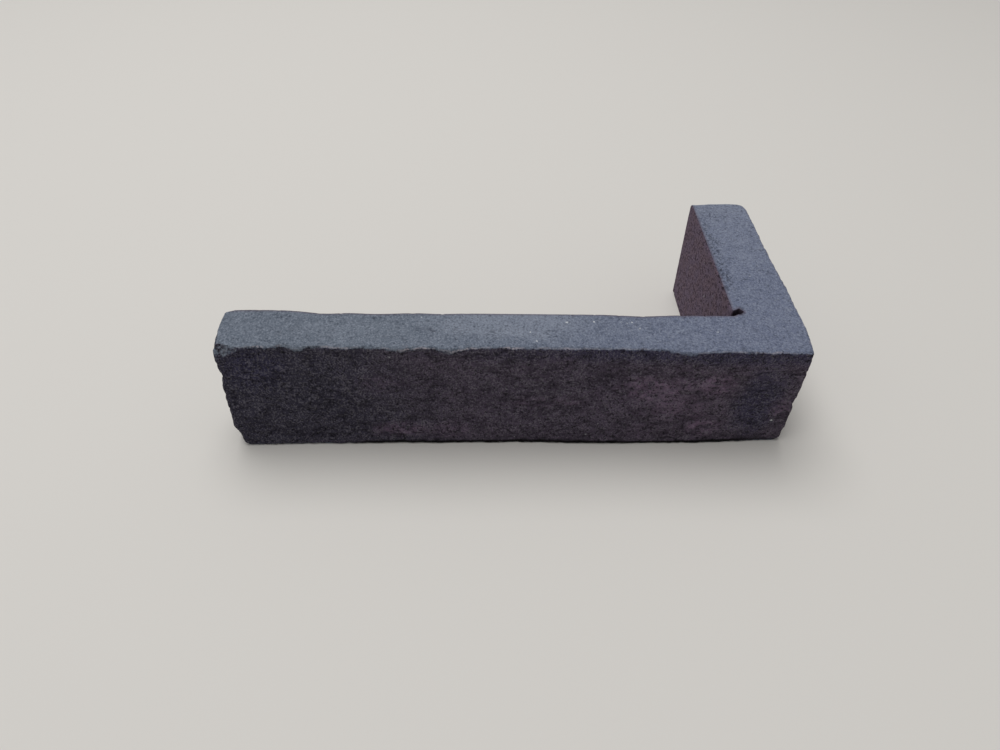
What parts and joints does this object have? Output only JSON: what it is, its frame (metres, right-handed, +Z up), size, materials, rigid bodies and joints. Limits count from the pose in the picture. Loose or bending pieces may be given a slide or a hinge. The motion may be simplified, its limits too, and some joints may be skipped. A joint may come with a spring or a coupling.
{
  "type": "corner brick slip",
  "caption": "L-shaped brick slip for an outside wall corner: two moulded outer faces, two sawn bonding faces and a short saw overrun at the inner corner.",
  "frame": {"origin": "under the middle of the slip's bounding box, on its lower bed face", "axes": "+X along the stretcher leg to the wall's outer corner, +Y back along the header leg, +Z up from bed to bed"},
  "size_m": [0.21, 0.1021, 0.048],
  "materials": {
    "fired_clay": "matt hand-moulded fired clay, black-brown with a blue-grey bloom on the beds"
  },
  "bodies": {
    "root": {"corner_brick_slip": "fired_clay"}
  },
  "joints": []
}
